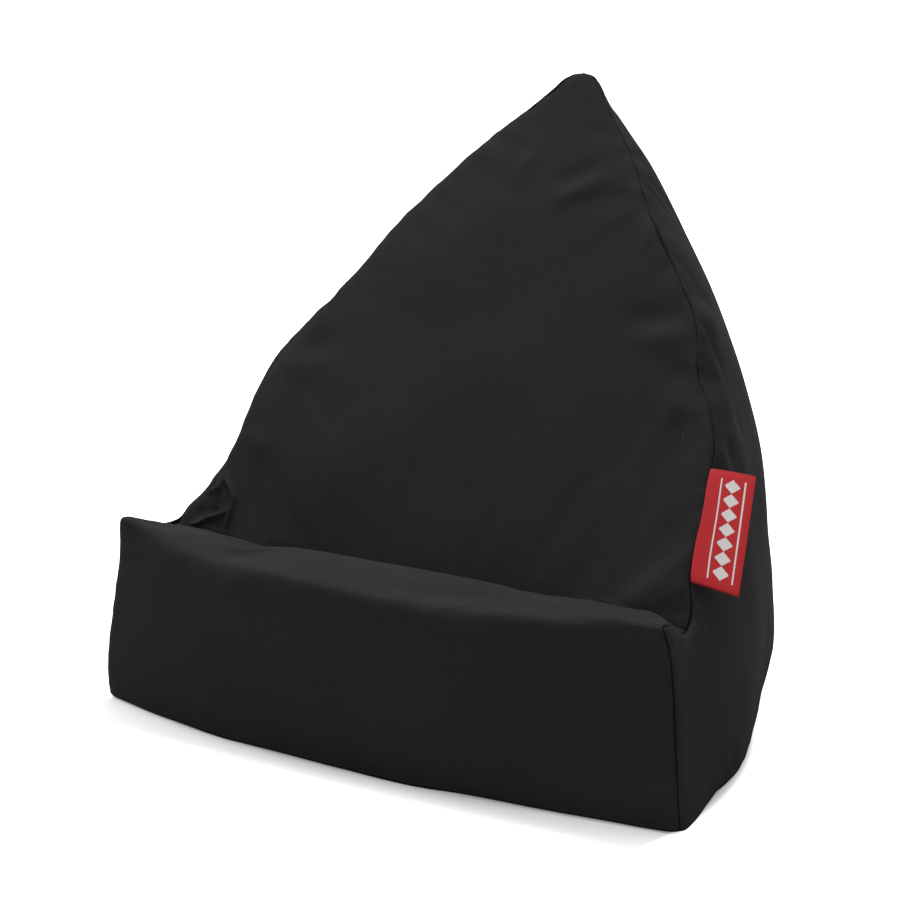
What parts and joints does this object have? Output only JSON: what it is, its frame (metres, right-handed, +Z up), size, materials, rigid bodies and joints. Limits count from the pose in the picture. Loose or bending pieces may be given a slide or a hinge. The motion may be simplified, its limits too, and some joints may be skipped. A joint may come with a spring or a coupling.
{
  "type": "tablet cushion stand",
  "caption": "Soft bead-filled cushion stand: a sewn cloth cover with a leaning arched backrest, a front ledge that holds a tablet's lower edge, and a folded label in the side seam.",
  "frame": {"origin": "on the floor, under the middle of the cushion's width and depth", "axes": "+X to the right as seen from in front, -Y the front with the ledge, +Z up"},
  "size_m": [0.286, 0.2399, 0.2608],
  "materials": {
    "cover_cloth": "matt black woven cloth",
    "base_cloth": "matt black woven cloth",
    "beads": "white foam beads",
    "label_tape": "red woven tape"
  },
  "bodies": {
    "root": {"ledge_panel": "cover_cloth", "backrest_panel": "cover_cloth", "right_side_panel": "cover_cloth", "left_side_panel": "cover_cloth", "base_panel": "base_cloth", "bead_filling": "beads", "side_label": "label_tape"}
  },
  "joints": []
}
